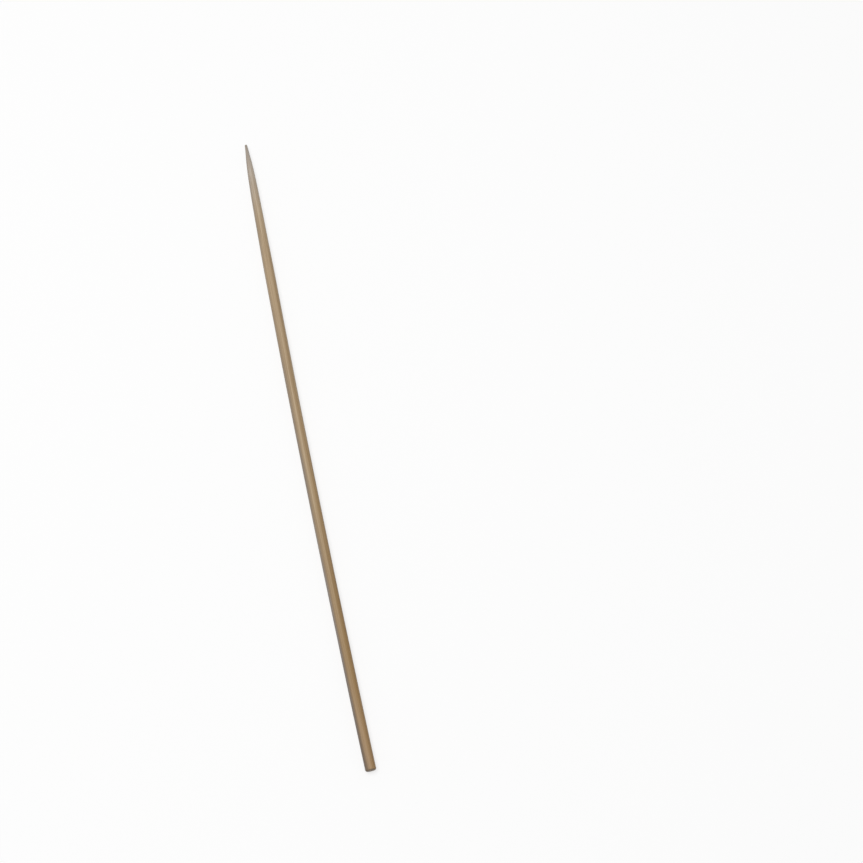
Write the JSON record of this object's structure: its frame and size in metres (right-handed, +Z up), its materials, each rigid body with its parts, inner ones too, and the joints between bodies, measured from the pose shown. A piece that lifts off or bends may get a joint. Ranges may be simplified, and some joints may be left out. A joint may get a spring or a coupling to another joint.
{
  "type": "wooden skewer",
  "caption": "Round bamboo food skewer, ground to a long tapering point at one end and cut square at the other, with a slight natural bow.",
  "frame": {"origin": "on the surface the stick lies on, under the middle of its bounding box", "axes": "+X along the stick towards its point, +Z up, +Y the side towards which the stick bows"},
  "size_m": [0.18, 0.0036, 0.0028],
  "materials": {
    "bamboo": "satin"
  },
  "bodies": {
    "root": {"skewer": "bamboo"}
  },
  "joints": []
}
